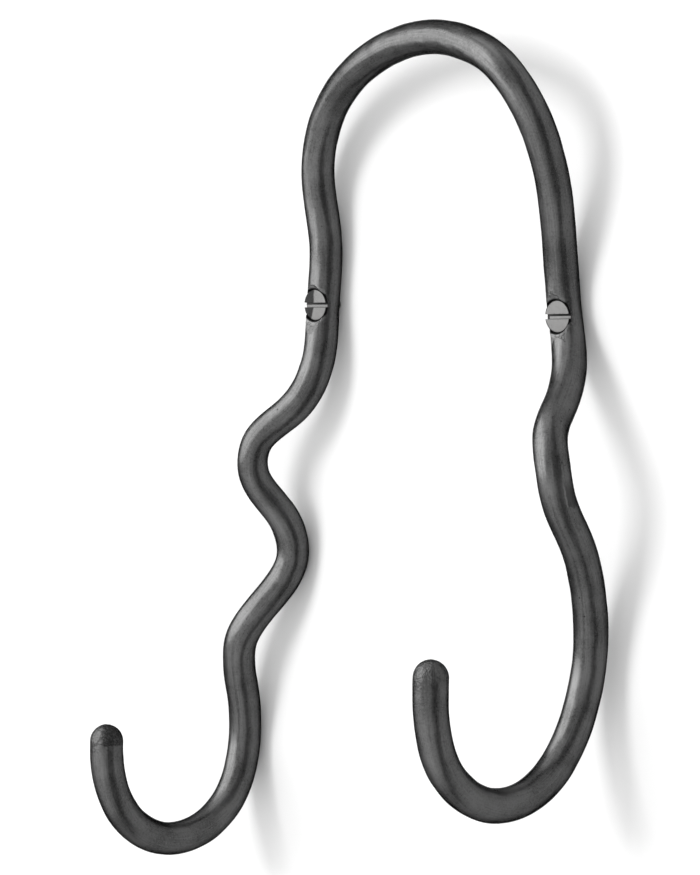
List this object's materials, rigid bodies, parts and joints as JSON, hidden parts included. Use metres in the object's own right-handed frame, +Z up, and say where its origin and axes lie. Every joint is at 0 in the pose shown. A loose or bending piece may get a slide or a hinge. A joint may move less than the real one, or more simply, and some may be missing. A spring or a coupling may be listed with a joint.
{
  "type": "wall hook",
  "caption": "Coat hook bent from one round bar: an arch with waving legs that end in forward hooks, held to the wall by slotted screws through the bar.",
  "frame": {"origin": "on the wall plane, midway between the axes of the two wall screws", "axes": "+Z up the wall, +Y into the wall along the screws, +X to the right seen from the front; the hooks stand out towards -Y"},
  "size_m": [0.1267, 0.0928, 0.1959],
  "materials": {
    "blackened_steel": "blackened and rubbed to a satin sheen",
    "screw_steel": "dull plated"
  },
  "bodies": {
    "root": {"hook_rod": "blackened_steel", "screw_left": "screw_steel", "screw_right": "screw_steel"}
  },
  "joints": []
}
